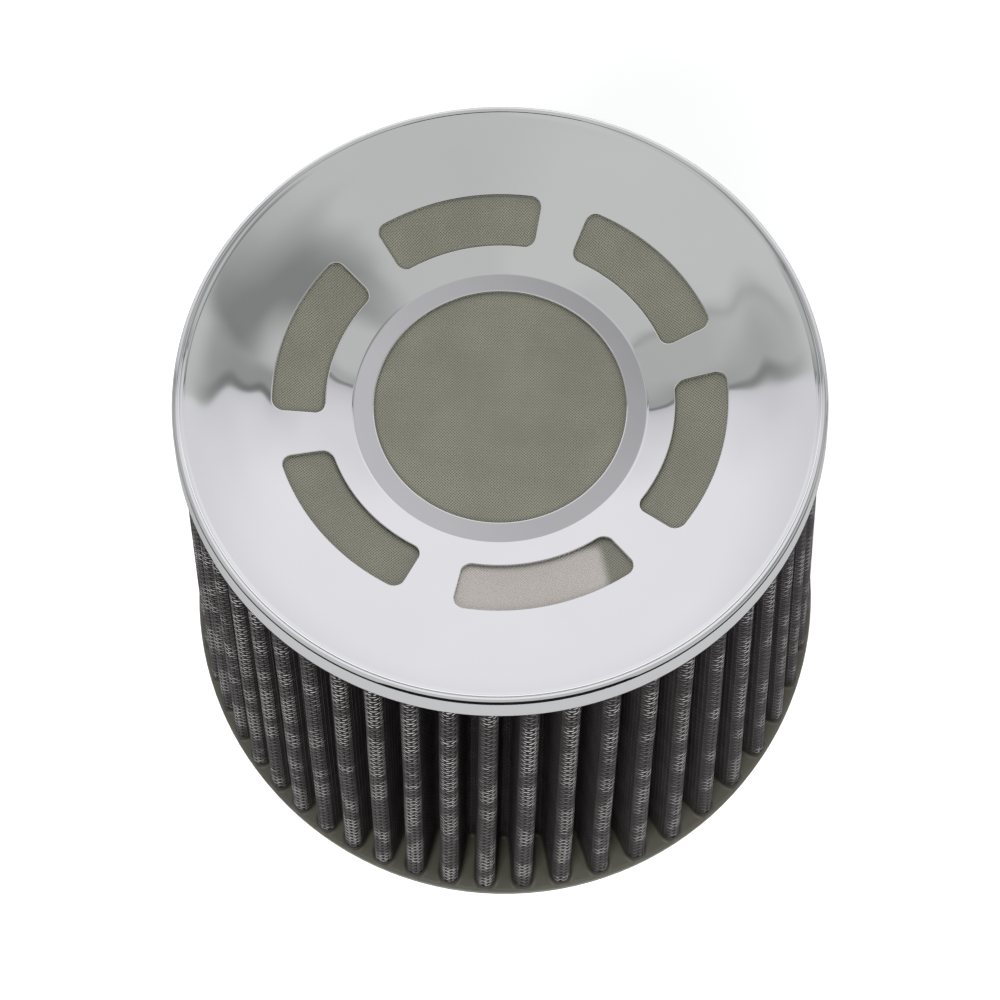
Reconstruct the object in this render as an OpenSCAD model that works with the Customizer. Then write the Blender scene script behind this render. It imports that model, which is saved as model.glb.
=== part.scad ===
// Clamp-on performance air filter for a car engine.
// A pressed chromed cover with six slots closes the small end of a cone of pleats,
// and a moulded flange with an inlet neck closes the wide end.
// The origin is the middle of the neck's lower face, on the axis, and +Z is up.
// All sizes are in millimetres.

/* [Inlet neck and flange] */
// Inside diameter of the inlet neck
neck_bore = 101.6; // [89:0.1:110]
// Wall thickness of the neck
neck_wall = 5; // [4:0.5:8]
// How far the neck stands out below the flange
neck_h = 24; // [22:1:40]
// Depth of the recess that the hose clamp sits in
clamp_recess = 1; // [0.5:0.1:1.5]
// Width of the recess that the hose clamp sits in
clamp_band_w = 14; // [12:1:15]
// Height of the bead below the recess
clamp_bead_h = 4; // [3:0.5:5]
// Rounding between the neck and the flange, outside and at the bore's upper mouth
neck_round = 3; // [1:0.5:3]
// Diameter of the flange
flange_d = 193.2; // [180:0.2:210]
// Thickness of the flange
flange_h = 6; // [5:0.5:12]
// Rounding of the flange's upper and lower outer edges
flange_round = 1.2; // [1:0.1:2.4]

/* [Pleats] */
// Number of pleats around the filter
pleat_count = 54; // [40:1:56]
// Depth of a pleat, measured along the radius
pleat_depth = 17; // [12:0.5:20]
// Margin between the pleat tips and the flange's edge
tip_margin = 1.1; // [1:0.1:6]
// Gap between the pleat tips and the inside of the cover's lower edge
tip_gap = 0.6; // [0.4:0.1:1.5]
// Share of the mean pitch that a pleat fills at its tip
tip_share = 0.5; // [0.48:0.01:0.52]
// Bearing that the pleats are counted from
pleat_turn = -84.7; // [-90:0.1:-80]
// How far the hand-folded pleats drift from even spacing at the flange, in degrees
base_drift = 3.5; // [0:0.1:3.6]
// How far they drift at the cover, in degrees
top_drift = 2.2; // [0:0.1:2.8]
// Bearing where the pleats bunch at the flange
base_bunch = -88; // [-180:1:180]
// Bearing where they bunch at the cover
top_bunch = -110; // [-180:1:180]
// Height from the flange's lower face to the cover's lower edge
body_h = 144.2; // [100:0.1:180]
// Thickness of each wire screen
screen_t = 0.4; // [0.3:0.1:0.5]
// Thickness of the cotton media
media_t = 0.8; // [0.6:0.1:1]
// Gap between one layer and the next
layer_gap = 0.15; // [0.1:0.05:0.2]

/* [Cover] */
// Radius of the cover's lower edge
cover_r = 76; // [76:0.5:80]
// Thickness of the cover's sheet
sheet_t = 0.8; // [0.6:0.1:0.9]
// Height of the cover's skirt up to the middle of the bead round the rim
skirt_h = 6.1; // [5:0.1:9]
// How far the skirt leans in over its height
skirt_lean = 0.6; // [0:0.1:1]
// Outer radius of the bead between skirt and dish, seen in section
bead_r = 1; // [1:0.1:1.6]
// How far up the inside of the bead the dish meets it, in degrees
bead_foot = 7; // [0:1:40]
// Radius of the dish's curve, seen in section
dish_curve = 132; // [110:1:160]
// Slope of the dish where it meets the bead
dish_slope = 9.7; // [6:0.1:12]
// Radius of the crease at the foot of the dish
crease_r = 34.6; // [33:0.1:36]
// Rounding of the crease
crease_round = 1.6; // [1:0.1:3]
// Radius of the round opening in the middle
opening_r = 29.9; // [28:0.1:31]

/* [Slots] */
// Number of slots in the cover
slot_count = 6; // [6:1:6]
// Width of a slot, measured along the radius
slot_w = 11.6; // [8:0.1:13]
// Margin between a slot's outer edge and the rim of the gauze under it
slot_margin = 2.5; // [1.5:0.1:5]
// Angle that a slot spans
slot_span = 46.6; // [30:0.1:50]
// Bearing of the first slot's middle
slot_turn = -19.5; // [-60:0.5:60]
// Rounding of a slot's corners
slot_round = 2.5; // [1:0.1:4]

/* [Top filter pad] */
// Thickness of the wire gauze
gauze_t = 0.4; // [0.3:0.1:0.5]
// Thickness of the cotton pad
pad_t = 1; // [0.8:0.1:1.4]

/* [Seal ring] */
// Thickness of the seal ring above the pleats' inner edge
seal_t = 0.9; // [0.7:0.1:2]
// Thickness of the collar between the top pad and the pleats
collar_t = 1.6; // [1.2:0.1:3]
// Thickness of the lip under the top pad
lip_t = 1.6; // [1:0.1:3]
// Gap between the lip and the slots' outer edge, seen from above
lip_gap = 0.6; // [0.3:0.1:1.5]
// Gap around the seal ring where it seats
seat_gap = 0.3; // [0.2:0.1:0.5]

/* [Hidden] */

round_fn = 96;
arc_steps = 6;
bead_steps = 10;
dish_steps = 18;
tip_steps = 5;
valley_steps = 3;

// Heights of the flange and of the cover's lower edge
flange_z = neck_h;
pleat_z = flange_z + flange_h;
cover_z = flange_z + body_h;
flange_r = flange_d / 2;
neck_in_r = neck_bore / 2;
neck_out_r = neck_in_r + neck_wall;

// The bead's middle, and the point where the dish starts from it
bead_mid_r = cover_r - skirt_lean - bead_r;
bead_mid_z = cover_z + skirt_h;
dish_end_r = bead_mid_r - bead_r * cos(bead_foot);
dish_end_z = bead_mid_z + bead_r * sin(bead_foot);

// The middle of the dish's curve, seen in section
dish_mid_r = dish_end_r + dish_curve * sin(dish_slope);
dish_mid_z = dish_end_z - dish_curve * cos(dish_slope);

// The flat ring around the opening, and the rounding that leads from it into the dish
crease_slope = asin((dish_mid_r - crease_r) / (dish_curve + crease_round));
crease_mid_z = dish_mid_z + (dish_curve + crease_round) * cos(crease_slope);
ring_z = crease_mid_z - crease_round;

// The layers of the top pad, as depths below the cover's upper face
gauze_drop = sheet_t + layer_gap;
pad_drop = gauze_drop + gauze_t + layer_gap;
backing_drop = pad_drop + pad_t + layer_gap;
pad_foot_drop = backing_drop + gauze_t;

// The seal ring fills the rim of the cover. Its collar stands inside the pleats, and the
// collar and the lip hold the top pad.
tip_r_top = cover_r - sheet_t - tip_gap;
pleat_in_r = tip_r_top - pleat_depth;
seal_side_r = cover_r - skirt_lean - sheet_t - layer_gap;
seal_top_r = bead_mid_r - seat_gap;
seal_foot_z = under_dish_z(pleat_in_r, gauze_drop) - seal_t;
collar_out_r = pleat_in_r - seat_gap;
collar_in_r = collar_out_r - collar_t;

// The top pad reaches the collar, and the slots lie inside its rim
pad_r = collar_in_r - seat_gap;
slot_out_r = pad_r - slot_margin;
slot_in_r = slot_out_r - slot_w;
lip_in_r = slot_out_r + lip_gap;
cut_over = 1;

// The pleated wall, where the layers share one middle line
pleat_top_z = seal_foot_z;
tip_r_base = flange_r - tip_margin;
wall_t = media_t + 2 * layer_gap + 2 * screen_t;
screen_mid = media_t / 2 + layer_gap + screen_t / 2;

// Points of an arc seen in section, from one bearing to another
function arc(mid_r, mid_z, radius, from, to, steps) = [
    for (i = [0 : steps])
        let (a = from + (to - from) * i / steps)
            [mid_r + radius * cos(a), mid_z + radius * sin(a)]
];

// The dish's curve at a depth below the cover's upper face, between two radii
function dish_bearing(r, drop) = 90 + asin((dish_mid_r - r) / (dish_curve - drop));
function under_dish_z(r, drop) = dish_mid_z + (dish_curve - drop) * sin(dish_bearing(r, drop));
function dish_arc(in_r, out_r, drop) =
    let (from = dish_bearing(in_r, drop), to = dish_bearing(out_r, drop))
        arc(dish_mid_r, dish_mid_z, dish_curve - drop, from, to, dish_steps);

// The flat ring, the crease and the dish at a depth below the cover's upper face
function dish_line(in_r, end_bearing, drop) = concat(
    [[in_r, ring_z - drop]],
    arc(crease_r, crease_mid_z, crease_round + drop, -90, crease_slope - 90, arc_steps),
    arc(dish_mid_r, dish_mid_z, dish_curve - drop, 90 + crease_slope, end_bearing, dish_steps)
);

// The whole cover at a depth below its upper face
function cover_line(drop) = concat(
    dish_line(opening_r + sheet_t / 2, 90 + dish_slope, drop),
    arc(bead_mid_r, bead_mid_z, bead_r - drop, 180 - bead_foot, 0, bead_steps),
    [[cover_r - drop, cover_z]]
);

function reversed(list) = [for (i = [len(list) - 1 : -1 : 0]) list[i]];

// Outline of one slot in plan: a sector with rounded corners
function on_plan(r, a) = [r * cos(a), r * sin(a)];
function bend(middle, radius, from, to, steps) = [
    for (i = [0 : steps])
        middle + on_plan(radius, from + (to - from) * i / steps)
];
function slot_corner(r, side, from) =
    let (a = side * (slot_span / 2 - slot_round / r * 180 / PI))
        bend(on_plan(r, a), slot_round, a + from, a + from + 90, arc_steps);
function slot_edge(r, end_r, side) =
    let (a = side * (slot_span / 2 - slot_round / end_r * 180 / PI))
        bend([0, 0], r, -a, a, dish_steps);
function slot_outline() =
    let (
        out_r = slot_out_r - slot_round,
        in_r = slot_in_r + slot_round
    )
        concat(
            slot_corner(out_r, -1, -90),
            slot_edge(slot_out_r, out_r, 1),
            slot_corner(out_r, 1, 0),
            slot_corner(in_r, 1, 90),
            slot_edge(slot_in_r, in_r, -1),
            slot_corner(in_r, -1, 180)
        );

// The two ends of the pleated wall: tip radius, height, drift and the bearing where pleats bunch
base_end = [tip_r_base, pleat_z, base_drift, base_bunch];
top_end = [tip_r_top, pleat_top_z, top_drift, top_bunch];
pitch = 360 / pleat_count;
function tip_bearing(k, end) =
    let (even = pleat_turn + k * pitch)
        even - end[2] * cos(2 * (even - end[3]));

// Pleats in plan. A tip and a valley are arcs, and a straight flank joins them.
// The gap is the angle between two tips, and a valley lies in its middle.
// A layer's own offset from the middle line widens its tips and narrows its valleys.
function tip_round(tip_r) = PI * tip_r / pleat_count * tip_share - wall_t / 2;
function tip_mid(tip_r) = tip_r - wall_t / 2 - tip_round(tip_r);
function valley_round(tip_r, gap) = PI * (tip_r - pleat_depth) * gap / 360 - tip_round(tip_r);
function valley_mid(tip_r, gap) = tip_r - pleat_depth + wall_t / 2 + valley_round(tip_r, gap);
function flank_bearing(tip_r, gap) =
    let (d = on_plan(valley_mid(tip_r, gap), gap / 2) - [tip_mid(tip_r), 0])
        atan2(d.y, d.x) - acos((tip_round(tip_r) + valley_round(tip_r, gap)) / norm(d));
function pleat_points(tip_r, turn, gap_before, gap_after, offset) =
    let (
        before = flank_bearing(tip_r, gap_before),
        after = flank_bearing(tip_r, gap_after),
        valley = turn + gap_after / 2
    )
        concat(
            bend(on_plan(tip_mid(tip_r), turn), tip_round(tip_r) + offset,
                turn - before, turn + after, tip_steps),
            bend(on_plan(valley_mid(tip_r, gap_after), valley), valley_round(tip_r, gap_after) - offset,
                turn + 180 + after, turn + 180 + gap_after - after, valley_steps)
        );
function ring_points(end, offset) = [
    for (k = [0 : pleat_count - 1])
        let (
            turn = tip_bearing(k, end),
            gap_before = turn - tip_bearing(k - 1, end),
            gap_after = tip_bearing(k + 1, end) - turn
        )
            for (p = pleat_points(end[0], turn, gap_before, gap_after, offset))
                [p.x, p.y, end[1]]
];

// Triangles between two rows of points, each row named by where it starts
function strip(from, to, count) = [
    for (i = [0 : count - 1])
        let (j = (i + 1) % count)
            each [[from + i, to + i, to + j], [from + i, to + j, from + j]]
];

// Solid of revolution from a closed section
module turned(section) {
    rotate_extrude($fn = round_fn) polygon(section);
}

// One layer of the top pad, between two depths below the cover's upper face
module pad_layer(drop, thickness) {
    foot = drop + thickness;
    turned(concat(
        dish_line(0, dish_bearing(pad_r, drop), drop),
        reversed(dish_line(0, dish_bearing(pad_r, foot), foot))
    ));
}

// One layer of the pleated wall, as a closed skin between its two faces
module pleat_layer(offset, thickness) {
    outer = offset + thickness / 2;
    inner = offset - thickness / 2;
    points = concat(
        ring_points(base_end, outer),
        ring_points(base_end, inner),
        ring_points(top_end, outer),
        ring_points(top_end, inner)
    );
    count = len(points) / 4;
    // Each strip of the skin joins two rows of points. Face and back are cut along the
    // same diagonals, so that the layers stay the same distance apart where they twist.
    faces = concat(
        strip(0, 2 * count, count),
        strip(2 * count, 3 * count, count),
        [for (f = strip(count, 3 * count, count)) reversed(f)],
        strip(count, 0, count)
    );
    polyhedron(points, faces, convexity = 10);
}

// Pressed cover: skirt, rim bead, dish, flat ring and round opening, with six slots
module top_cover() {
    color("gainsboro")
        difference() {
            turned(concat(
                cover_line(0),
                reversed(cover_line(sheet_t)),
                arc(opening_r + sheet_t / 2, ring_z - sheet_t / 2, sheet_t / 2, 270, 90, arc_steps)
            ));
            for (k = [0 : slot_count - 1])
                rotate([0, 0, slot_turn + k * 360 / slot_count])
                    translate([0, 0, ring_z - sheet_t - cut_over])
                        linear_extrude(height = dish_end_z - ring_z + sheet_t + 2 * cut_over)
                            polygon(slot_outline());
        }
}

// Fine wire cloth that shows through the slots and the opening
module top_gauze() {
    color("darkkhaki")
        pad_layer(gauze_drop, gauze_t);
}

// Cotton filter pad under the gauze
module top_cotton_pad() {
    color("mistyrose")
        pad_layer(pad_drop, pad_t);
}

// Wire cloth that backs the pad from inside
module top_backing_gauze() {
    color("darkkhaki")
        pad_layer(backing_drop, gauze_t);
}

// Moulded ring that bonds the cover, the top pad and the upper ends of the pleats
module top_seal_ring() {
    pad_foot = pad_foot_drop + layer_gap;
    lip_foot_z = under_dish_z(lip_in_r, pad_foot) - lip_t;
    color("dimgray")
        turned(concat(
            [[lip_in_r, lip_foot_z]],
            [[collar_out_r, lip_foot_z]],
            [[collar_out_r, seal_foot_z]],
            [[seal_side_r, seal_foot_z]],
            [[seal_side_r, under_dish_z(seal_top_r, gauze_drop)]],
            reversed(dish_arc(collar_in_r, seal_top_r, gauze_drop)),
            reversed(dish_arc(lip_in_r, collar_in_r, pad_foot))
        ));
}

// Woven wire screen on the outside of the pleats
module outer_wire_screen() {
    color("slategray")
        pleat_layer(screen_mid, screen_t);
}

// Pleated cotton that does the filtering
module cotton_media() {
    color("mistyrose")
        pleat_layer(0, media_t);
}

// Woven wire screen on the inside of the pleats
module inner_wire_screen() {
    color("slategray")
        pleat_layer(-screen_mid, screen_t);
}

// Moulded flange with the inlet neck, one piece
module base_flange() {
    recess_r = neck_out_r - clamp_recess;
    recess_top_z = clamp_bead_h + clamp_band_w;
    edge_r = flange_r - flange_round;
    color("darkolivegreen")
        turned(concat(
            [[neck_in_r, 0]],
            [[neck_out_r, 0]],
            [[neck_out_r, clamp_bead_h]],
            [[recess_r, clamp_bead_h]],
            [[recess_r, recess_top_z]],
            [[neck_out_r, recess_top_z]],
            arc(neck_out_r + neck_round, flange_z - neck_round, neck_round, 180, 90, arc_steps),
            arc(edge_r, flange_z + flange_round, flange_round, 270, 360, arc_steps),
            arc(edge_r, pleat_z - flange_round, flange_round, 0, 90, arc_steps),
            arc(neck_in_r + neck_round, pleat_z - neck_round, neck_round, 90, 180, arc_steps)
        ));
}

top_cover();
top_gauze();
top_cotton_pad();
top_backing_gauze();
top_seal_ring();
outer_wire_screen();
cotton_media();
inner_wire_screen();
base_flange();
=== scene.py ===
"""Clamp-on performance air filter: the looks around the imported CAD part, in metres."""
import math

import bpy
import numpy as np
from mathutils import Matrix, Vector


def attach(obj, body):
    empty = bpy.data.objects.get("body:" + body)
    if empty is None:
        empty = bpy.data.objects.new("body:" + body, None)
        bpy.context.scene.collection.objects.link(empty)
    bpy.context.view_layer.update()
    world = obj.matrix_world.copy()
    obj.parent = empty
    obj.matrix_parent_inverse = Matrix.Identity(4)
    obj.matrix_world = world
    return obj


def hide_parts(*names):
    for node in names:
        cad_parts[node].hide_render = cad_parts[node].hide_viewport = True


MM = 0.001

# Cover, in millimetres, as the CAD part has it
SHEET = 0.8
COVER_R = 76.0
COVER_Z = 168.2
DISH_END = (73.41, 174.42)
DISH_CURVE = 132.0
DISH_SLOPE = math.radians(9.7)
CREASE_R = 34.6
CREASE_ROUND = 1.6
OPENING_R = 29.9
SLOTS = 6
SLOT_IN_R = 41.3
SLOT_OUT_R = 52.9
SLOT_SPAN = math.radians(46.6)
SLOT_TURN = math.radians(-19.5)
SLOT_ROUND = 2.5

# Finer forms of the cover: the slots' rolled lips, the rim bead and the hollow inside it, and the skirt
SLOT_LIP = 0.34
BEAD_MID = (74.2, 174.4)
BEAD_R = 0.9
BEAD_FILLET = 2.2
SKIRT_SLOPE = math.atan2(0.9, 6.2)
SKIRT_LEVELS = (172.5, 170.5)
SKIRT_EDGE = 0.3
SKIRT_INSIDE_STEP = 0.5
SKIRT_INSIDE_H = 4.0

# The cover's mesh round a slot: its inner and outer circle, and how many steps it has each way
CELL_IN_R = 37.2
CELL_OUT_R = 57.4
CELL_COLUMNS = 36
CELL_ROWS = 20
CELL_RINGS = 10
CORNER_STEPS = 6
LIP_STEPS = 5

# Pleats, in millimetres and degrees, as the CAD part has them.
# An end is the tips' radius, the height, and how far and about which bearing the tips drift
PLEATS = 54
PLEAT_DEPTH = 17.0
TIP_SHARE = 0.5
WALL = 1.9
SCREEN_MID = 0.75
SCREEN_T = 0.4
SCREEN_FACE = SCREEN_MID + SCREEN_T / 2
PLEAT_TURN = -84.7
BASE_END = (95.5, 30.0, 3.5, -88.0)
TOP_END = (74.6, 168.81, 2.2, -110.0)

# The pleats' mesh, and the waver of their folds: its size in millimetres and its waves up the wall
TIP_STEPS = 10
VALLEY_STEPS = 6
FLANK_STEPS = 3
FOLD_SWAY = 0.15
FOLD_WAVES = (1.4, 3.1)
FOLD_SEED = 7

# Flange, in millimetres, as the CAD part has it, and the resin's climb: out from the screen, and up
FLANGE_R = 96.6
FLANGE_ROUND = 1.2
COLLAR = ((-0.05, 1.3), (0.1, 0.9), (0.35, 0.55), (0.7, 0.28), (1.3, 0.03))
COLLAR_MARGIN = 0.2
# Height over the pleats' feet over which the painted shade on the bead fades in
SHADE_CLIMB = 0.7

# Weaves, in millimetres. TIP_AT is the tip's place on a pleat's run of screen, as a share
SCREEN_PITCH = 1.45
SCREEN_WIRE = 0.46
SCREEN_RUN = 26 * SCREEN_PITCH
TIP_AT = 0.13
GAUZE_PITCH = 0.5
GAUZE_WIRE = 0.27
GAUZE_DRIFT = 1.4
COTTON_PITCH = 0.9
COTTON_YARN = 0.7

# Gauze sheet, in millimetres: its rings, its gap under the cover, and how far out its pillows reach.
# A pillow is a wave: its height, its radians for each millimetre of x and of y, and its start
GAUZE_RADII = np.r_[np.linspace(0.5, 32, 24), np.linspace(33, 55.4, 26)]
GAUZE_TURNS = 144
GAUZE_GAP = 0.15
PILLOW_R = 31
PILLOWS = ((0.28, 0.16, 0.11, 0.7), (0.16, -0.1, 0.27, 0.0))
PILLOW_DROP = 0.05

# Painted sheen on the gauze in the front slot, standing in for a reflection, in millimetres: where its edges
# to the right, behind and to the left fade
SHEEN_RIGHT = (15.0, 17.5)
SHEEN_BEHIND = (-39.0, -36.0)
SHEEN_LEFT = (-20.0, -14.0)
SHEEN_SLANT = 0.14
SHEEN_SHARE = 0.75

# Colours
CHROME_TONES = ((0.86, 0.86, 0.875), (0.89, 0.89, 0.9))
GAUZE_TONE = (0.37, 0.36, 0.295)
GAUZE_DARK = (0.17, 0.165, 0.135)
# Painted sheen: the gauze's colour where the painted reflection lies
SHEEN_TONE = (0.74, 0.69, 0.66)
SCREEN_COATED = (0.058, 0.050, 0.052)
SCREEN_TIP = (0.008, 0.007, 0.007)
# Painted highlight on the screen's knuckles
SCREEN_GLINT = (0.93, 0.91, 0.89)
SCREEN_COTTON = ((0.007, 0.005, 0.006), (0.018, 0.013, 0.014))
RESIN = (0.062, 0.059, 0.046)
# Painted shade on the bead where the pleats rise from the resin
RESIN_SHADE = (0.022, 0.019, 0.015)
SEAL = (0.07, 0.066, 0.055)
COTTON_TONES = ((0.20, 0.12, 0.11), (0.46, 0.31, 0.28))
CARD_BLACK = (0.004, 0.004, 0.004, 1.0)
CEILING_TINT = (0.98, 1.0, 0.985)
WALL_TINT = (0.98, 0.98, 1.01)

# Camera, from the fit to the photograph
CAMERA_ELEVATION = 1.142985
CAMERA_DISTANCE = 0.3534
CAMERA_ROLL = -0.026022
CAMERA_LENS = 54.542
CAMERA_SHIFT = (0.00028, -0.10885)

# Studio, in metres and watts. The floor has other tones where it is mirrored
FLOOR_CORNERS = ((-3, -0.3, 0), (3, -0.3, 0), (3, 3, 0), (-3, 3, 0))
FLOOR_TONE = (0.82, 0.82, 0.82)
FLOOR_TONE_MIRRORED = (0.40, 0.40, 0.405)
FLOOR_GLOW = 0.4
FLOOR_GLOW_MIRRORED = 0.04
CARD_CORNERS = ((-0.09, -0.17, 0.16), (0.09, -0.17, 0.16), (0.09, -0.17, 0.32), (-0.09, -0.17, 0.32))
LAMP_SIZE = 0.6
KEY_LAMP = {"place": (-0.35, -0.95, 0.95), "target": (0, -0.03, 0.09), "power": 18.0}
FILL_LAMP = {"place": (0.9, -0.45, 0.7), "target": (0, 0, 0.09), "power": 6.0}

# The colour mix node's sockets
MIX_FIRST, MIX_SECOND, MIX_RESULT = 6, 7, 2


def shade(colour, factor):
    return tuple(factor * c for c in colour)


def unit(angle):
    return np.array([math.cos(angle), math.sin(angle)])


def polar(r, degrees):
    return r * unit(math.radians(degrees))


class Graph:
    """Adds nodes to a tree, so that a pattern reads as a line of sums."""

    def __init__(self, tree):
        self.tree = tree

    def node(self, kind, **settings):
        made = self.tree.nodes.new(kind)
        for name, value in settings.items():
            setattr(made, name, value)
        return made

    def put(self, value, socket):
        if isinstance(value, bpy.types.NodeSocket):
            self.tree.links.new(value, socket)
        else:
            socket.default_value = value

    def math(self, operation, *values):
        made = self.node("ShaderNodeMath", operation=operation)
        for value, socket in zip(values, made.inputs):
            self.put(value, socket)
        return made.outputs[0]

    def plus(self, first, second):
        return self.math("ADD", first, second)

    def minus(self, first, second):
        return self.math("SUBTRACT", first, second)

    def times(self, first, second):
        return self.math("MULTIPLY", first, second)

    def over(self, first, second):
        return self.math("DIVIDE", first, second)

    def line(self, value, slope, start):
        return self.math("MULTIPLY_ADD", value, slope, start)

    def scale(self, share, low, high):
        return self.line(share, high - low, low)

    def without(self, mask):
        return self.minus(1.0, mask)

    def step(self, value, low, high):
        """0 up to low, 1 from high, and smooth between."""
        made = self.node("ShaderNodeMapRange", interpolation_type="SMOOTHSTEP")
        for given, name in ((value, "Value"), (low, "From Min"), (high, "From Max")):
            self.put(given, made.inputs[name])
        return made.outputs[0]

    def window(self, value, rise, fall):
        """Up over the first pair of places, and down again over the second."""
        return self.times(self.step(value, *rise), self.without(self.step(value, *fall)))

    def band(self, value, middle, reach, core=0.0):
        """1 within the core of the middle, and 0 from its reach."""
        off = self.math("ABSOLUTE", self.minus(value, middle))
        return self.without(self.step(off, core, reach))

    def darken(self, level, mask, depth):
        return self.times(level, self.line(mask, -depth, 1.0))

    def between(self, share, first, second):
        return self.plus(self.times(first, self.without(share)), self.times(second, share))

    def noise(self, vector, scale, detail=2.0, roughness=0.5):
        made = self.node("ShaderNodeTexNoise")
        self.put(vector, made.inputs["Vector"])
        self.put(scale, made.inputs["Scale"])
        self.put(detail, made.inputs["Detail"])
        self.put(roughness, made.inputs["Roughness"])
        return made.outputs[0]

    def blend(self, share, first, second):
        made = self.node("ShaderNodeMix", data_type="RGBA")
        self.put(share, made.inputs["Factor"])
        for colour, socket in ((first, made.inputs[MIX_FIRST]), (second, made.inputs[MIX_SECOND])):
            if not isinstance(colour, bpy.types.NodeSocket):
                colour = (*colour, 1.0)
            self.put(colour, socket)
        return made.outputs[MIX_RESULT]

    def split(self, vector):
        made = self.node("ShaderNodeSeparateXYZ")
        self.put(vector, made.inputs[0])
        return made.outputs[0], made.outputs[1], made.outputs[2]

    def place(self):
        return self.node("ShaderNodeTexCoord").outputs["Object"]

    def bump(self, height, distance, strength=1.0, under=None):
        made = self.node("ShaderNodeBump")
        self.put(height, made.inputs["Height"])
        made.inputs["Distance"].default_value = distance
        made.inputs["Strength"].default_value = strength
        if under is not None:
            self.put(under, made.inputs["Normal"])
        return made.outputs[0]


def new_material(name, **settings):
    """A material, its graph and its shader, with plain settings on the shader's sockets."""
    material = bpy.data.materials.new(name)
    material.use_nodes = True
    shader = material.node_tree.nodes["Principled BSDF"]
    for socket, value in settings.items():
        shader.inputs[socket.replace("_", " ")].default_value = value
    return material, Graph(material.node_tree), shader


def weave(graph, u, v, pitch, wire):
    """Plain weave of round wires: heights of the level and the upright wires, from 0 to 1 on a knuckle."""
    column_at = graph.over(u, pitch)
    row_at = graph.over(v, pitch)
    column = graph.math("FLOOR", column_at)
    row = graph.math("FLOOR", row_at)

    def wire_height(across, cell, along, sign):
        off = graph.over(graph.minus(graph.minus(across, cell), 0.5), wire / pitch / 2)
        round_top = graph.math("SQRT", graph.math("MAXIMUM", graph.minus(1.0, graph.times(off, off)), 0.0))
        turn = graph.minus(graph.minus(along, 0.5), cell)
        crimp = graph.math("COSINE", graph.times(turn, math.pi))
        return graph.times(round_top, graph.line(crimp, sign / 3, 2 / 3))

    return wire_height(row_at, row, column_at, 1.0), wire_height(column_at, column, row_at, -1.0)


def chrome_material():
    """Polished chrome with a faint ripple, haze and smears."""
    material, graph, shader = new_material("chrome_plate", Metallic=1.0)
    place = graph.place()
    haze = graph.noise(place, scale=22.0, detail=3.0)
    smear = graph.noise(place, scale=150.0, detail=4.0, roughness=0.6)
    graph.put(graph.blend(graph.step(haze, 0.35, 0.75), *CHROME_TONES), shader.inputs["Base Color"])
    graph.put(graph.scale(graph.times(haze, smear), 0.015, 0.08), shader.inputs["Roughness"])
    ripple = graph.noise(place, scale=34.0, detail=1.5)
    graph.put(graph.bump(ripple, distance=0.00022, strength=0.5), shader.inputs["Normal"])
    return material


def painted_sheen(graph, x, y):
    """Where the painted sheen, a painted reflection, shows on the gauze in the front slot."""
    spans = [[place * MM for place in span] for span in (SHEEN_RIGHT, SHEEN_BEHIND, SHEEN_LEFT)]
    side = graph.without(graph.step(graph.line(y, SHEEN_SLANT, x), *spans[0]))
    front = graph.times(side, graph.without(graph.step(y, *spans[1])))
    return graph.times(front, graph.step(x, *spans[2]))


def gauze_material():
    """Fine wire cloth, laid at 45 degrees to the picture, with a painted sheen in the front slot."""
    material, graph, shader = new_material("wire_gauze", Metallic=0.75)
    place = graph.place()
    x, y, _ = graph.split(place)
    diagonal = math.sqrt(0.5) / MM
    drift = graph.times(graph.minus(graph.noise(place, scale=30.0), 0.5), GAUZE_DRIFT)
    u = graph.plus(graph.times(graph.plus(x, y), diagonal), drift)
    v = graph.minus(graph.times(graph.minus(y, x), diagonal), drift)
    height = graph.math("MAXIMUM", *weave(graph, u, v, GAUZE_PITCH, GAUZE_WIRE))
    cloud = graph.step(graph.noise(place, scale=60.0, detail=4.0, roughness=0.6), 0.3, 0.7)
    lit = graph.blend(cloud, shade(GAUZE_TONE, 0.94), shade(GAUZE_TONE, 1.22))
    woven = graph.blend(graph.step(height, 0.0, 0.8), GAUZE_DARK, lit)
    # Painted sheen: a paler colour standing in for the light reflected in the front slot
    patch = graph.times(painted_sheen(graph, x, y), SHEEN_SHARE)
    graph.put(graph.blend(patch, woven, SHEEN_TONE), shader.inputs["Base Color"])
    graph.put(graph.scale(cloud, 0.48, 0.6), shader.inputs["Roughness"])
    graph.put(graph.bump(height, distance=GAUZE_WIRE * MM * 0.5, strength=0.5), shader.inputs["Normal"])
    return material


def knuckle_glints(graph, place, pleat, v, on_tip):
    """Painted highlight on the knuckles, as a share: patches that follow each pleat, with fine specks, mostly
    on the tips.
    """
    shift, wander, run = 0.37, 3.4, 31.0
    phase = graph.times(graph.noise(place, scale=34.0, detail=3.0, roughness=0.6), wander)
    phase = graph.plus(graph.line(pleat, shift, phase), graph.over(v, run))
    wave = graph.math("SINE", graph.times(phase, 2 * math.pi))
    patch = graph.scale(graph.step(wave, -0.6, 0.6), 0.28, 1.0)
    speck = graph.scale(graph.step(graph.noise(place, scale=520.0, detail=1.0), 0.32, 0.6), 0.6, 1.0)
    return graph.times(graph.times(patch, speck), graph.scale(on_tip, 0.09, 1.0))


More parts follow.
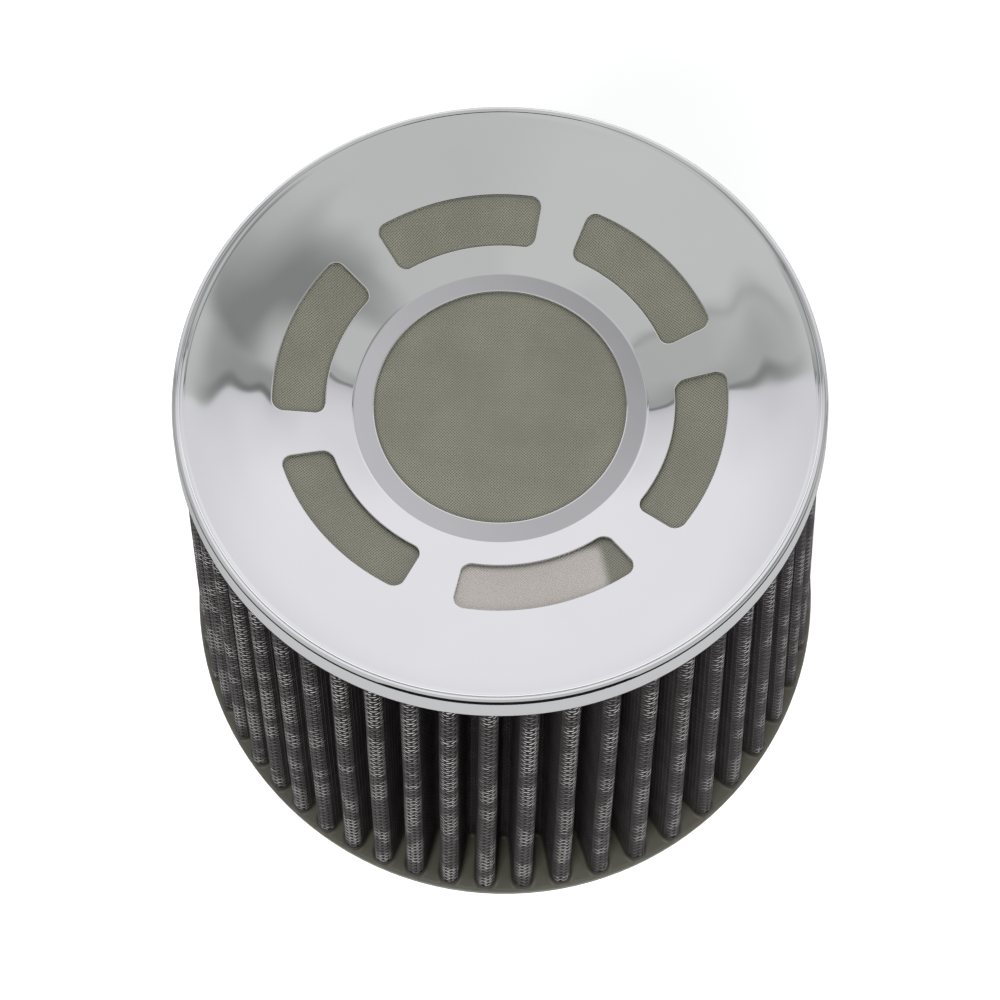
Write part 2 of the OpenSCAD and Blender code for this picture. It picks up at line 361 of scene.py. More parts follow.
def screen_material():
    """Coated wire screen over oiled cotton. Knuckles of the level wires carry a painted highlight on the
    pleat tips.
    """
    material, graph, shader = new_material("coated_wire_screen", Specular_IOR_Level=0.18)
    u, v, _ = graph.split(graph.node("ShaderNodeUVMap", uv_map="weave").outputs[0])
    place = graph.place()
    level, upright = weave(graph, u, v, SCREEN_PITCH, SCREEN_WIRE)
    height = graph.math("MAXIMUM", level, upright)
    wire = graph.step(height, 0.05, 0.4)
    knuckle = graph.step(level, 0.36, 0.5)
    run = graph.over(u, SCREEN_RUN)
    from_tip = graph.math("ABSOLUTE", graph.minus(graph.math("FRACT", run), TIP_AT))
    on_tip = graph.without(graph.step(from_tip, 0.03, 0.11))
    # Painted highlight: bright knuckles, mostly on the pleat tips
    glint = graph.times(knuckle, knuckle_glints(graph, place, graph.math("FLOOR", run), v, on_tip))
    metal = graph.blend(glint, graph.blend(on_tip, SCREEN_COATED, SCREEN_TIP), SCREEN_GLINT)
    cotton = graph.blend(graph.noise(place, scale=700.0, detail=3.0), *SCREEN_COTTON)
    graph.put(graph.blend(wire, cotton, metal), shader.inputs["Base Color"])
    graph.put(graph.times(wire, 0.3), shader.inputs["Metallic"])
    graph.put(graph.scale(glint, 0.6, 0.35), shader.inputs["Roughness"])
    graph.put(graph.bump(height, distance=SCREEN_WIRE * MM), shader.inputs["Normal"])
    return material


def moulded_material(name, colour, roughness, coat, painted_shade=None):
    """Cast polyurethane with faint flow marks and dust, and, if given, a darker colour painted as shade above
    the pleats' feet.
    """
    material, graph, shader = new_material(name, Coat_Weight=coat, Coat_Roughness=0.2)
    place = graph.place()
    cloud = graph.noise(place, scale=28.0, detail=4.0, roughness=0.6)
    tone = graph.blend(cloud, shade(colour, 0.7), shade(colour, 1.35))
    if painted_shade:
        # Painted shade: darker above the pleats' feet, in the crease where they meet the bead
        foot_z = BASE_END[1]
        rise = graph.step(graph.split(place)[2], foot_z * MM, (foot_z + SHADE_CLIMB) * MM)
        tone = graph.blend(rise, tone, painted_shade)
    graph.put(tone, shader.inputs["Base Color"])
    graph.put(graph.scale(cloud, roughness, roughness + 0.2), shader.inputs["Roughness"])
    flow = graph.bump(graph.noise(place, scale=55.0), distance=0.0006, strength=0.5)
    dust = graph.noise(place, scale=900.0, detail=3.0)
    graph.put(graph.bump(dust, distance=0.00006, strength=0.5, under=flow), shader.inputs["Normal"])
    return material


def cotton_material():
    """Oiled cotton gauze: a soft, irregular weave."""
    material, graph, shader = new_material("oiled_cotton", Sheen_Weight=0.4, Roughness=0.95)
    place = graph.place()
    x, y, z = graph.split(place)
    drift = graph.times(graph.noise(place, scale=300.0), 0.5)
    u = graph.plus(graph.over(graph.plus(x, z), MM), drift)
    v = graph.plus(graph.over(graph.plus(y, z), MM), drift)
    height = graph.math("MAXIMUM", *weave(graph, u, v, COTTON_PITCH, COTTON_YARN))
    graph.put(graph.blend(height, *COTTON_TONES), shader.inputs["Base Color"])
    graph.put(graph.bump(height, distance=0.0003, strength=0.8), shader.inputs["Normal"])
    return material


def add_object(name, data):
    made = bpy.data.objects.new(name, data)
    bpy.context.scene.collection.objects.link(made)
    return made


def mesh_piece(name, points, faces, material, normals=None, uvs=None):
    """A smooth mesh object from points in millimetres."""
    mesh = bpy.data.meshes.new(name)
    mesh.from_pydata([tuple(p) for p in np.asarray(points) * MM], [], faces)
    mesh.polygons.foreach_set("use_smooth", [True] * len(mesh.polygons))
    if uvs is not None:
        layer = mesh.uv_layers.new(name="weave")
        layer.data.foreach_set("uv", np.asarray(uvs, np.float32).ravel())
    mesh.materials.append(material)
    mesh.validate()
    if normals is not None:
        mesh.normals_split_custom_set_from_vertices([tuple(n) for n in normals])
    return add_object(name, mesh)


def welded_piece(name, points, normals, faces, material):
    """A mesh object whose points in one place are joined, with the first one's normal."""
    _, first, same = np.unique(np.round(points, 3), axis=0, return_index=True, return_inverse=True)
    same = same.ravel()
    kept = [tuple(int(same[i]) for i in f) for f in faces]
    kept = [f for f in kept if len(set(f)) == len(f)]
    return mesh_piece(name, points[first], kept, material, normals[first])


def ring_faces(rows, count):
    """Faces between rows of points that close on themselves, from the inner or lower row outwards."""
    return [
        (i * count + j, (i + 1) * count + j, (i + 1) * count + (j + 1) % count, i * count + (j + 1) % count)
        for i in range(rows - 1)
        for j in range(count)
    ]


# Section of the cover: the dish's arc, and the crease between the flat ring and the dish
DISH_MID = (
    DISH_END[0] + DISH_CURVE * math.sin(DISH_SLOPE),
    DISH_END[1] - DISH_CURVE * math.cos(DISH_SLOPE),
)
CREASE_SLOPE = math.asin((DISH_MID[0] - CREASE_R) / (DISH_CURVE + CREASE_ROUND))
CREASE_MID_Z = DISH_MID[1] + (DISH_CURVE + CREASE_ROUND) * math.cos(CREASE_SLOPE)
RING_Z = CREASE_MID_Z - CREASE_ROUND


def dish_z(r):
    return DISH_MID[1] + np.sqrt(DISH_CURVE**2 - (DISH_MID[0] - r) ** 2)


def dish_tilt(r):
    """How far the dish's normal leans towards the axis."""
    return np.arcsin((DISH_MID[0] - r) / DISH_CURVE)


def dish_rows(radii):
    return [(r, float(dish_z(r)), -math.sin(dish_tilt(r)), math.cos(dish_tilt(r))) for r in radii]


def bead_fillet():
    """Middle of the hollow between dish and bead, with the bearings where it leaves and meets them."""
    away = (BEAD_MID[0] - DISH_MID[0], BEAD_MID[1] - DISH_MID[1])
    apart = math.hypot(*away)
    to_dish, to_bead = DISH_CURVE + BEAD_FILLET, BEAD_R + BEAD_FILLET
    spread = math.acos((apart**2 + to_dish**2 - to_bead**2) / (2 * apart * to_dish))
    bearing = math.atan2(away[1], away[0]) + spread
    middle = (DISH_MID[0] + to_dish * math.cos(bearing), DISH_MID[1] + to_dish * math.sin(bearing))
    meet = math.atan2(BEAD_MID[1] - middle[1], BEAD_MID[0] - middle[0])
    return middle, math.degrees(bearing) + 180, math.degrees(meet) + 360


def section_arc(middle, radius, start, end, steps, hollow=False):
    """Rows of (r, z, normal r, normal z) along an arc seen in section."""
    side = -1 if hollow else 1
    rows = []
    for a in np.radians(np.linspace(start, end, steps + 1)):
        c, s = math.cos(a), math.sin(a)
        rows.append((middle[0] + radius * c, middle[1] + radius * s, side * c, side * s))
    return rows


def revolved(rows, turns):
    """Points, normals and faces of rows turned about the axis."""
    points, normals = [], []
    for r, z, nr, nz in rows:
        points += [(r * math.cos(t), r * math.sin(t), z) for t in turns]
        normals += [(nr * math.cos(t), nr * math.sin(t), nz) for t in turns]
    return points, normals, ring_faces(len(rows), len(turns))


def slot_bearing(r, side):
    """Bearing of a corner's middle at a radius, on the slot's side 1 or -1."""
    return side * (SLOT_SPAN / 2 - SLOT_ROUND / r)


def slot_corner(r, side, start, end):
    """Half of a rounded corner about its middle, as points in plan and the ways out of the slot there."""
    a = slot_bearing(r, side)
    turns = np.radians(np.linspace(start, end, CORNER_STEPS + 1))[:-1]
    return [(r * unit(a) + SLOT_ROUND * unit(a + turn), unit(a + turn)) for turn in turns]


def slot_side(r, middle_r, side):
    """The slot's long outer or inner edge, between two corners with their middles at another radius."""
    reach = slot_bearing(middle_r, side)
    bearings = np.linspace(-reach, reach, CELL_COLUMNS - 2 * CORNER_STEPS + 1)[:-1]
    return [(r * unit(a), side * unit(a)) for a in bearings]


def slot_end(side, first_r, last_r):
    """The slot's straight end, between the corners at two radii."""
    rays = []
    for r in (first_r, last_r):
        a = slot_bearing(r, side)
        way = side * np.array([-math.sin(a), math.cos(a)])
        rays.append((r * unit(a) + SLOT_ROUND * way, way))
    (first, first_way), (last, last_way) = rays
    shares = np.linspace(0, 1, CELL_ROWS - 2 * CORNER_STEPS + 1)[:-1]
    return [(first * (1 - s) + last * s, first_way * (1 - s) + last_way * s) for s in shares]


def slot_outline():
    """Points of a slot's outline about bearing 0, in plan, and the way out of the slot at each."""
    out_r, in_r = SLOT_OUT_R - SLOT_ROUND, SLOT_IN_R + SLOT_ROUND
    steps = slot_corner(out_r, -1, -45, 0) + slot_side(SLOT_OUT_R, out_r, 1)
    steps += slot_corner(out_r, 1, 0, 45) + slot_corner(out_r, 1, 45, 90) + slot_end(1, out_r, in_r)
    steps += slot_corner(in_r, 1, 90, 135) + slot_corner(in_r, 1, 135, 180) + slot_side(SLOT_IN_R, in_r, -1)
    steps += slot_corner(in_r, -1, 180, 225) + slot_corner(in_r, -1, 225, 270) + slot_end(-1, in_r, out_r)
    steps += slot_corner(out_r, -1, -90, -45)
    return np.array([point for point, _ in steps]), np.array([way for _, way in steps])


def cell_edge():
    """The sixth of the cover around a slot, as (radius, bearing), matched to the slot's outline."""
    half = math.pi / SLOTS
    across = np.linspace(-half, half, CELL_COLUMNS + 1)[:-1]
    down = np.linspace(CELL_OUT_R, CELL_IN_R, CELL_ROWS + 1)[:-1]
    sides = [(CELL_OUT_R, a) for a in across] + [(r, half) for r in down]
    sides += [(CELL_IN_R, -a) for a in across] + [(r, -half) for r in CELL_OUT_R + CELL_IN_R - down]
    return np.array(sides)


def dish_row(plan, ways, drop, lip):
    """Points at a drop below the dish, and their normals at a turn of the lip, from 0 at the slot's wall."""
    r = np.hypot(plan[:, 0], plan[:, 1])
    tilt = dish_tilt(r)
    up = np.c_[-np.sin(tilt)[:, None] * plan / r[:, None], np.cos(tilt)]
    normal = math.sin(lip) * up - math.cos(lip) * np.c_[ways, np.zeros(len(ways))]
    return np.c_[plan, dish_z(r) - drop], normal / np.linalg.norm(normal, axis=1)[:, None]


def slot_cell(turn):
    """The cover around one slot: wall, rolled lip and dish."""
    outline, ways = slot_outline()
    edge = cell_edge()
    rows = [dish_row(outline, ways, SHEET, 0.0)]
    for lip in np.radians(np.linspace(0, 90, LIP_STEPS + 1)):
        plan = outline + SLOT_LIP * (1 - math.cos(lip)) * ways
        rows.append(dish_row(plan, ways, SLOT_LIP * (1 - math.sin(lip)), lip))
    first = outline + SLOT_LIP * ways
    first_r, first_a = np.hypot(first[:, 0], first[:, 1]), np.arctan2(first[:, 1], first[:, 0])
    for share in np.linspace(0, 1, CELL_RINGS + 1)[1:]:
        r = first_r * (1 - share) + edge[:, 0] * share
        a = first_a * (1 - share) + edge[:, 1] * share
        rows.append(dish_row(np.c_[r * np.cos(a), r * np.sin(a)], ways, 0.0, math.pi / 2))
    spin = np.array(Matrix.Rotation(turn, 3, "Z"))
    points = np.vstack([p for p, _ in rows]) @ spin.T
    normals = np.vstack([n for _, n in rows]) @ spin.T
    return points, normals, ring_faces(len(rows), len(outline))


def inner_rows():
    """Section from the opening's rolled edge over the flat ring and the crease to the dish."""
    rows = section_arc((OPENING_R + SHEET / 2, RING_Z - SHEET / 2), SHEET / 2, 270, 90, steps=10)
    rows += [(r, RING_Z, 0.0, 1.0) for r in np.linspace(OPENING_R + 1.2, CREASE_R - 0.4, 4)]
    crease = math.degrees(CREASE_SLOPE)
    rows += section_arc((CREASE_R, CREASE_MID_Z), CREASE_ROUND, -90, crease - 90, steps=8, hollow=True)
    return rows + dish_rows([36.2, CELL_IN_R])


def outer_rows():
    """Section from the dish over the hollow, the rim bead and the skirt to a little way up inside."""
    hollow_mid, leave, meet = bead_fillet()
    foot_r = hollow_mid[0] + BEAD_FILLET * math.cos(math.radians(leave))
    rows = dish_rows(np.linspace(CELL_OUT_R, foot_r, 14))
    rows += section_arc(hollow_mid, BEAD_FILLET, leave, meet, steps=8, hollow=True)[1:]
    rows += section_arc(BEAD_MID, BEAD_R, meet - 180, math.degrees(SKIRT_SLOPE), steps=16)[1:]
    for z in (*SKIRT_LEVELS, COVER_Z + SKIRT_EDGE):
        r = COVER_R - (z - COVER_Z) * math.tan(SKIRT_SLOPE)
        rows.append((r, z, math.cos(SKIRT_SLOPE), math.sin(SKIRT_SLOPE)))
    rows += section_arc((COVER_R - SKIRT_EDGE, COVER_Z + SKIRT_EDGE), SKIRT_EDGE, 0, -90, steps=5)
    inside_r = COVER_R - SHEET
    rows.append((inside_r, COVER_Z, 0.0, -1.0))
    rows.append((inside_r - SKIRT_INSIDE_STEP, COVER_Z + SKIRT_INSIDE_H, -1.0, 0.0))
    return rows


def chromed_cover():
    """Opening, flat ring, dish with slots, rim and skirt."""
    count = SLOTS * CELL_COLUMNS
    turns = SLOT_TURN + np.arange(count) * 2 * math.pi / count - math.pi / SLOTS
    parts = [revolved(inner_rows(), turns), revolved(outer_rows(), turns)]
    parts += [slot_cell(SLOT_TURN + k * 2 * math.pi / SLOTS) for k in range(SLOTS)]
    points, normals, faces = [], [], []
    for some_points, some_normals, some_faces in parts:
        faces += [tuple(i + len(points) for i in f) for f in some_faces]
        points += [tuple(p) for p in some_points]
        normals += [tuple(n) for n in some_normals]
    return welded_piece("chromed_cover", np.array(points), np.array(normals), faces, chrome_material())


def tip_bearing(k, end):
    _, _, drift, about = end
    even = PLEAT_TURN + k * 360 / PLEATS
    return even - drift * math.cos(math.radians(2 * (even - about)))


def pleat_valley(tip_r, tip_round, tip_mid, gap):
    """Round and middle of the valley between two tips a gap apart, and where its flank leaves the tip."""
    valley_round = math.pi * (tip_r - PLEAT_DEPTH) * gap / 360 - tip_round
    valley_mid = tip_r - PLEAT_DEPTH + WALL / 2 + valley_round
    d = polar(valley_mid, gap / 2) - [tip_mid, 0]
    reach = math.degrees(math.acos((tip_round + valley_round) / np.hypot(*d)))
    return valley_round, valley_mid, math.degrees(math.atan2(d[1], d[0])) - reach


def flank(first, last):
    return [first * (1 - s) + last * s for s in np.linspace(0, 1, FLANK_STEPS + 2)[1:-1]]


def pleat_row(end, offset):
    """Points of the pleated wall in plan at one end, pleat by pleat, at an offset from its middle."""
    tip_r = end[0]
    tip_round = math.pi * tip_r / PLEATS * TIP_SHARE - WALL / 2
    tip_mid = tip_r - WALL / 2 - tip_round
    bearings = [tip_bearing(k, end) for k in range(-1, PLEATS + 1)]
    folds = []
    for before, turn, after in zip(bearings, bearings[1:], bearings[2:]):
        gap = after - turn
        _, _, arrive = pleat_valley(tip_r, tip_round, tip_mid, turn - before)
        valley_round, valley_mid, leave = pleat_valley(tip_r, tip_round, tip_mid, gap)
        tip_turns = np.linspace(turn - arrive, turn + leave, TIP_STEPS + 1)
        low_turns = np.linspace(turn + 180 + leave, turn + 180 + gap - leave, VALLEY_STEPS + 1)
        tip = [polar(tip_mid, turn) + polar(tip_round + offset, a) for a in tip_turns]
        low = [polar(valley_mid, turn + gap / 2) + polar(valley_round - offset, a) for a in low_turns]
        folds.append((tip, low))
    whole = []
    for (tip, low), (following, _) in zip(folds, folds[1:] + folds[:1]):
        whole += tip + flank(tip[-1], low[0]) + low + flank(low[-1], following[0])
    return np.array(whole)


def wavering_wall(base, top, levels):
    """Points up the pleated wall, whose folds waver a little from side to side."""
    rng = np.random.default_rng(FOLD_SEED)
    per_pleat = len(base) // PLEATS
    phase = np.repeat(rng.uniform(0, 2 * math.pi, (PLEATS, 2)), per_pleat, axis=0)
    pull = np.repeat(rng.uniform(0.5, 1.0, PLEATS), per_pleat)
    reach = np.hypot(base[:, 0], base[:, 1])
    tipness = np.clip((reach - reach.min()) / PLEAT_DEPTH, 0, 1) ** 2
    slow, quick = FOLD_WAVES
    points = []
    for h in np.linspace(0, 1, levels + 1):
        plan = base * (1 - h) + top * h
        side = np.c_[-plan[:, 1], plan[:, 0]] / np.hypot(plan[:, 0], plan[:, 1])[:, None]
        wave = np.sin(2 * math.pi * slow * h + phase[:, 0])
        wave += 0.5 * np.sin(2 * math.pi * quick * h + phase[:, 1])
        hold = math.sin(math.pi * h) ** 0.5
        plan = plan + side * (FOLD_SWAY * hold * pull * tipness * wave)[:, None]
        z = BASE_END[1] + (TOP_END[1] - BASE_END[1]) * h
        points.append(np.c_[plan, np.full(len(base), z)])
    return np.vstack(points)


def weave_places(base, top, levels):
    """Places on the screen in millimetres: along its folds, the same run for each pleat, and up the wall."""
    mid = (base + top) / 2
    run = np.r_[0, np.cumsum(np.hypot(*(np.roll(mid, -1, 0) - mid).T))]
    per_pleat = len(base) // PLEATS
    u = np.empty(len(base) + 1)
    for k in range(PLEATS):
        piece = slice(k * per_pleat, (k + 1) * per_pleat + 1)
        span = run[piece] - run[piece][0]
        u[piece] = (k + span / span[-1]) * SCREEN_RUN
    slant = math.hypot(TOP_END[1] - BASE_END[1], BASE_END[0] - TOP_END[0])
    return u, np.linspace(0, slant, levels + 1)


def pleated_skin(name, offset, material, levels):
    """One face of a pleated layer, with a weave map in millimetres."""
    base, top = pleat_row(BASE_END, offset), pleat_row(TOP_END, offset)
    u, v = weave_places(base, top, levels)
    count = len(base)
    faces, uvs = [], []
    for i in range(levels):
        for j in range(count):
            n = (j + 1) % count
            faces.append((i * count + j, i * count + n, (i + 1) * count + n, (i + 1) * count + j))
            uvs += [(u[j], v[i]), (u[j + 1], v[i]), (u[j + 1], v[i + 1]), (u[j], v[i + 1])]
    return mesh_piece(name, wavering_wall(base, top, levels), faces, material, uvs=uvs)


def potting_bead(material):
    """The cast resin that climbs a little way up the pleats' feet, kept inside the flange's edge."""
    flat_r, last_r = FLANGE_R - FLANGE_ROUND, FLANGE_R - COLLAR_MARGIN
    points = []
    for out, rise in COLLAR:
        plan = pleat_row(BASE_END, SCREEN_FACE + out)
        reach = np.hypot(plan[:, 0], plan[:, 1])
        plan *= (np.minimum(reach, last_r) / reach)[:, None]
        over = np.clip(reach, flat_r, last_r) - flat_r
        drop = FLANGE_ROUND - np.sqrt(FLANGE_ROUND**2 - over**2)
        points.append(np.c_[plan, BASE_END[1] + rise - drop])
    faces = ring_faces(len(points), len(points[0]))
    return mesh_piece("potting_bead", np.vstack(points), faces, material)


def smooth_gauze(material):
    """The gauze under the cover, with the slight pillows of loose cloth."""
    drop = SHEET + GAUZE_GAP

    def level(r):
        if r < CREASE_R:
            return RING_Z - drop
        if r < CREASE_R + (CREASE_ROUND + drop) * math.sin(CREASE_SLOPE):
            return CREASE_MID_Z - math.sqrt((CREASE_ROUND + drop) ** 2 - (r - CREASE_R) ** 2)
        return DISH_MID[1] + math.sqrt((DISH_CURVE - drop) ** 2 - (DISH_MID[0] - r) ** 2)

    def pillow(x, y):
        return sum(height * math.sin(a * x + b * y + start) for height, a, b, start in PILLOWS)

    points = []
    for r in GAUZE_RADII:
        free = max(0.0, 1 - (r / PILLOW_R) ** 2)
        for t in np.arange(GAUZE_TURNS) * 2 * math.pi / GAUZE_TURNS:
            x, y = r * math.cos(t), r * math.sin(t)
            points.append((x, y, level(r) + free * (pillow(x, y) - PILLOW_DROP)))
    faces = ring_faces(len(GAUZE_RADII), GAUZE_TURNS)
    faces.append(tuple(range(GAUZE_TURNS)))
    return mesh_piece("wire_gauze", points, faces, material)


def add_camera():
    target = Vector((0, 0, COVER_Z * MM))
    back = Vector((0, -math.cos(CAMERA_ELEVATION), math.sin(CAMERA_ELEVATION)))
    right = Vector((1, 0, 0))
    up = back.cross(right)
    c, s = math.cos(CAMERA_ROLL), math.sin(CAMERA_ROLL)
    turned = Matrix((c * right + s * up, c * up - s * right, back)).transposed().to_4x4()
    data = bpy.data.cameras.new("camera")
    data.lens = CAMERA_LENS
    data.sensor_width = 36.0
    data.shift_x, data.shift_y = CAMERA_SHIFT
    data.clip_start, data.clip_end = 0.01, 20.0
    camera = add_object("camera", data)
    camera.matrix_world = Matrix.Translation(target + CAMERA_DISTANCE * back) @ turned
    bpy.context.scene.camera = camera


def add_lamp(name, place, target, power):
    """A square soft lamp that the chrome doesn't show."""
    data = bpy.data.lights.new(name, "AREA")
    data.shape = "RECTANGLE"
    data.size = data.size_y = LAMP_SIZE
    data.energy = power
    lamp = add_object(name, data)
    lamp.location = place
    lamp.visible_glossy = False
    lamp.rotation_mode = "QUATERNION"
    lamp.rotation_quaternion = (Vector(target) - Vector(place)).to_track_quat("-Z", "Y")


class Studio:
    """The grey that the chrome reflects from each direction: x to the right, y to the back, z up.

    Two numbers after a direction are where a zone begins and where it is full.
    A depth is the share of the grey that a zone takes away.
    """

    def __init__(self, graph):
        way = graph.node("ShaderNodeTexCoord").outputs["Generated"]
        self.graph = graph
        self.x, self.y, self.z = graph.split(way)
        self.left = graph.times(self.x, -1.0)
        self.off_axis = graph.math("ABSOLUTE", self.x)
        self.aside = graph.step(self.off_axis, 0.1, 0.3)
        self.waver = graph.line(graph.noise(way, scale=8.0, detail=0.0), 0.09, -0.045)
        self.past_edge = self.distance_past_edge()
        self.wall = graph.step(self.past_edge, -0.003, 0.006)
        self.middle = self.flat_ring_zone()

    def distance_past_edge(self):
        """How far a direction lies past the wavering line where the ceiling meets the wall."""
        graph, edge_y, left_rise, right_rise = self.graph, 0.415, 0.03, -0.11
        edge = graph.line(graph.step(self.left, 0.3, 0.6), left_rise, edge_y)
        edge = graph.line(graph.step(self.x, 0.46, 0.6), right_rise, edge)
        return graph.line(self.waver, self.aside, graph.minus(self.y, edge))

    def flat_ring_zone(self):
        """The small oval of directions that the cover's flat ring reflects."""
        graph, middle_y, half_wide, half_high = self.graph, 0.405, 0.097, 0.085
        wide = graph.over(self.x, half_wide)
        high = graph.over(graph.minus(self.y, middle_y), half_high)
        away = graph.math("SQRT", graph.plus(graph.times(wide, wide), graph.times(high, high)))
        return graph.without(graph.step(away, 1.0, 1.1))

    def ceiling_and_wall(self):
        """Grey ceiling, lighter to the near left, and a white wall, duller by the edge and far aside."""
        graph, grey, lighter, duller_aside = self.graph, 0.54, 0.05, 0.13
        near_left = graph.window(self.left, (-0.05, 0.12), (0.35, 0.5))
        ceiling = graph.line(near_left, lighter, grey)
        white = graph.scale(graph.step(self.past_edge, 0.0, 0.2), 0.71, 0.86)
        white = graph.darken(white, graph.step(self.off_axis, 0.38, 0.6), duller_aside)
        return graph.between(self.wall, ceiling, white)

    def edge_shades(self, level):
        """A narrow dark line and a wide soft one along the edge between ceiling and wall."""
        graph = self.graph
        for middle, reach, depth in ((-0.008, 0.016, 0.45), (-0.03, 0.08, 0.2)):
            line = graph.times(graph.band(self.past_edge, middle, reach), self.aside)
            level = graph.darken(level, line, depth)
        return level

    def left_fold(self, level):
        """A slanting fold on the ceiling's left, dark along its crease and darker below."""
        graph, crease_y, slope, drop, waviness = self.graph, 0.40, 0.36, -0.05, 0.8
        crease = graph.line(graph.step(self.left, 0.45, 0.65), drop, graph.line(self.x, slope, crease_y))
        below = graph.line(self.waver, waviness, graph.minus(self.y, crease))
        lobe = graph.times(graph.step(below, -0.012, 0.01), graph.without(self.wall))
        level = graph.darken(level, graph.times(lobe, graph.step(self.left, 0.1, 0.18)), 0.15)
        line = graph.times(graph.band(below, 0.0, 0.035), graph.step(self.left, 0.1, 0.25))
        return graph.darken(level, line, 0.16)

    def right_figure(self, level):
        """A tall dark figure on the right, whose lower end leans in, with a lobe at its foot."""
        graph, lean, place, waviness = self.graph, 0.65, -0.4545, 1.2
        foot = (0.34, 0.37)
        across = graph.plus(graph.line(self.y, lean, self.x), graph.line(self.waver, waviness, place))
        figure = graph.times(graph.band(across, 0.0, 0.19, 0.03), graph.window(self.y, (-0.38, 0.16), foot))
        lobe = graph.times(graph.step(self.y, *foot), graph.without(self.wall))
        level = graph.darken(level, figure, 0.55)
        return graph.darken(level, graph.times(lobe, graph.step(self.x, 0.13, 0.22)), 0.28)

    def flat_ring(self, level):
        """The flat ring's own grey, lighter to the left and the front."""
        graph, grey, to_right, to_back, waviness = self.graph, 0.80, -0.9, -0.8, 3.0
        ring = graph.line(self.y, to_back, graph.line(self.x, to_right, grey))
        ring = graph.times(ring, graph.line(self.waver, waviness, 1.0))
        return graph.between(self.middle, level, ring)

    def low_front(self, level):
        """A bright strip just over the horizon, and a front that is black below a slanting skyline."""
        graph, strip_light, skyline_z, skyline_slope, fade = self.graph, 0.35, 0.15, -0.3, 0.12
        strip = graph.band(self.z, 0.08, 0.15, 0.06)
        strip = graph.times(strip, graph.without(graph.step(graph.times(self.y, -1.0), 0.0, 0.3)))
        level = graph.line(strip, strip_light, level)
        skyline = graph.line(self.y, skyline_slope, skyline_z)
        below = graph.without(graph.step(self.z, skyline, graph.plus(skyline, fade)))
        return graph.darken(level, graph.times(below, graph.without(graph.step(self.y, -0.1, 0.1))), 0.95)

    def level(self):
        """The whole studio, zone by zone."""
        level = self.edge_shades(self.ceiling_and_wall())
        level = self.flat_ring(self.right_figure(self.left_fold(level)))
        level = self.graph.darken(level, self.graph.step(self.off_axis, 0.74, 0.9), 0.4)
        return self.low_front(level)

    def tint(self):
        pale = self.graph.math("MAXIMUM", self.wall, self.middle)
        return self.graph.blend(pale, CEILING_TINT, WALL_TINT)


def studio_world():
    """The painted studio all round, and plain white where the camera sees it directly."""
    world = bpy.data.worlds.new("studio")
    bpy.context.scene.world = world
    world.use_nodes = True
    world.node_tree.nodes.clear()
    graph = Graph(world.node_tree)
    studio = Studio(graph)
    around = graph.node("ShaderNodeBackground")
    graph.put(studio.tint(), around.inputs["Color"])
    graph.put(studio.level(), around.inputs["Strength"])
    seen = graph.node("ShaderNodeBackground")
    seen.inputs["Color"].default_value = (1, 1, 1, 1)
    mix = graph.node("ShaderNodeMixShader")
    graph.put(graph.node("ShaderNodeLightPath").outputs["Is Camera Ray"], mix.inputs[0])
    graph.put(around.outputs[0], mix.inputs[1])
    graph.put(seen.outputs[0], mix.inputs[2])
    graph.put(mix.outputs[0], graph.node("ShaderNodeOutputWorld").inputs[0])


def add_panel(name, corners, material):
    mesh = bpy.data.meshes.new(name)
    mesh.from_pydata(corners, [], [(0, 1, 2, 3)])
    mesh.materials.append(material)
    return add_object(name, mesh)


def add_floor():
    """Plain pale floor that fades into the white background, and is darker where the chrome shows it."""
    material, graph, shader = new_material("pale_floor", Roughness=0.9)
    path = graph.node("ShaderNodeLightPath")
    mirrored = graph.math("MAXIMUM", path.outputs["Is Glossy Ray"], path.outputs["Is Transmission Ray"])
    graph.put(graph.blend(mirrored, FLOOR_TONE, FLOOR_TONE_MIRRORED), shader.inputs["Base Color"])
    glow = graph.line(path.outputs["Is Camera Ray"], FLOOR_GLOW, graph.times(mirrored, FLOOR_GLOW_MIRRORED))
    shader.inputs["Emission Color"].default_value = (1, 1, 1, 1)
    graph.put(glow, shader.inputs["Emission Strength"])
    floor = add_panel("floor", FLOOR_CORNERS, material)


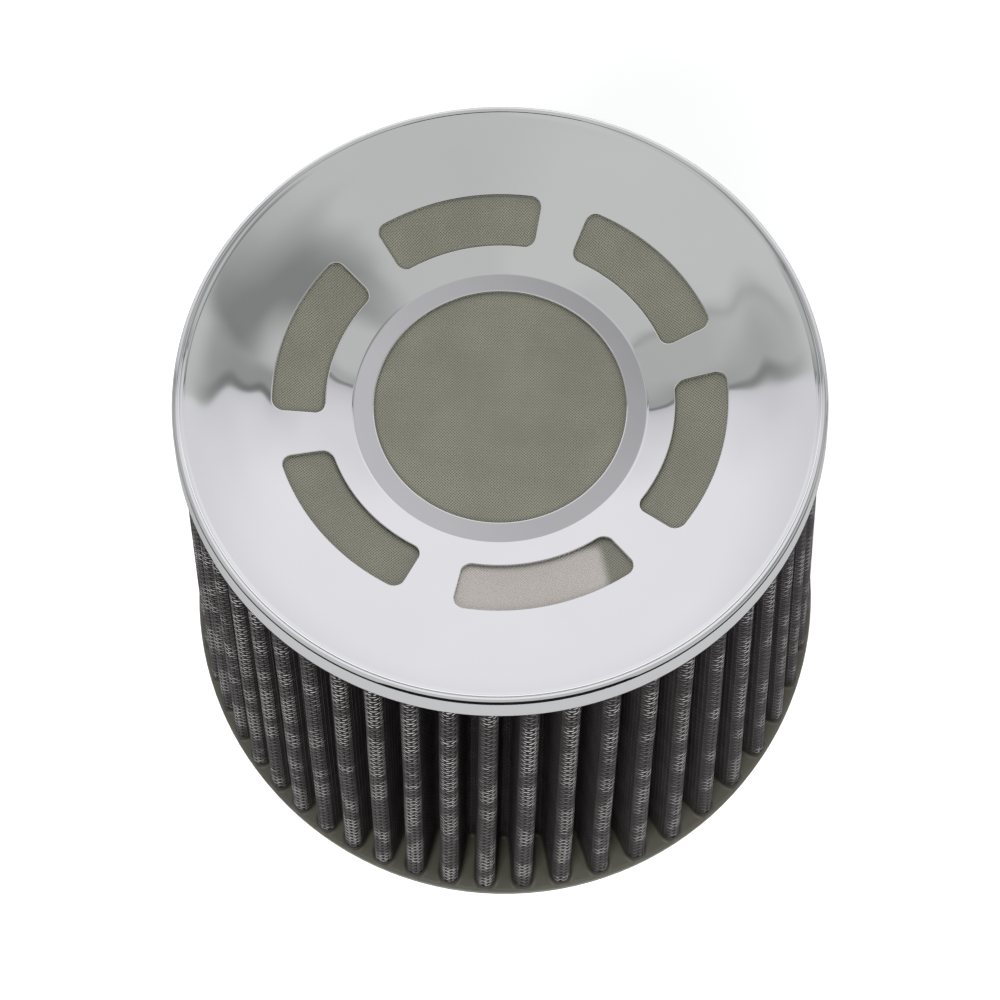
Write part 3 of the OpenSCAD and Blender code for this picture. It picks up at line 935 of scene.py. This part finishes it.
def add_flag():
    """Dark card just in front of the cover, seen only in the chrome, for the black line on the rim."""
    black = new_material("flag_black", Base_Color=CARD_BLACK, Roughness=1.0)[0]
    flag = add_panel("flag", CARD_CORNERS, black)
    flag.visible_camera = flag.visible_diffuse = flag.visible_shadow = flag.visible_transmission = False


def dress(frame):
    """Materials for the CAD nodes that stay, and new pieces for those that need more."""
    resin = moulded_material("cast_polyurethane", RESIN, 0.3, 0.25)
    seal = moulded_material("seal_polyurethane", SEAL, 0.45, 0.1)
    # The bead at the pleats' feet carries a painted shade
    foot = moulded_material("foot_polyurethane_painted_shade", RESIN, 0.3, 0.25, RESIN_SHADE)
    cotton = cotton_material()
    gauze = gauze_material()
    screen = screen_material()
    kept = {
        "base_flange": resin,
        "top_seal_ring": seal,
        "cotton_media": cotton,
        "top_cotton_pad": cotton,
        "top_backing_gauze": gauze,
    }
    for name, material in kept.items():
        node = frame["nodes"][name]
        for place in node.material_slots:
            place.material = material
    made = [
        (chromed_cover(), "top_cover", "chromed_sheet"),
        (smooth_gauze(gauze), "top_gauze", "wire_gauze"),
        (pleated_skin("outer_screen", SCREEN_FACE, screen, 30), "outer_wire_screen", "coated_screen"),
        (pleated_skin("inner_screen", -SCREEN_FACE, screen, 16), "inner_wire_screen", "coated_screen"),
        (potting_bead(foot), None, "moulded_flange"),
    ]
    for piece, node, slot in made:
        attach(piece, "root")
        if node:
            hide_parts(node)


def corners(box):
    return [list(map(float, corner)) for corner in box]


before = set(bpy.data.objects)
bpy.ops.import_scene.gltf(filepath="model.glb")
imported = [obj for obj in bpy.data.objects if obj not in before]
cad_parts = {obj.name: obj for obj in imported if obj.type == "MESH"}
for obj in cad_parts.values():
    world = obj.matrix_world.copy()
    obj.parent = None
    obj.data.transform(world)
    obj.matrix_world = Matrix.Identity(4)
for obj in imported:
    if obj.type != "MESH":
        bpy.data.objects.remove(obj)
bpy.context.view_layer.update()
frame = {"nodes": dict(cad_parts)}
dress(frame)
add_floor()
add_flag()
studio_world()
add_lamp("key", **KEY_LAMP)
add_lamp("fill", **FILL_LAMP)
add_camera()
bpy.context.scene.view_settings.view_transform = "Standard"
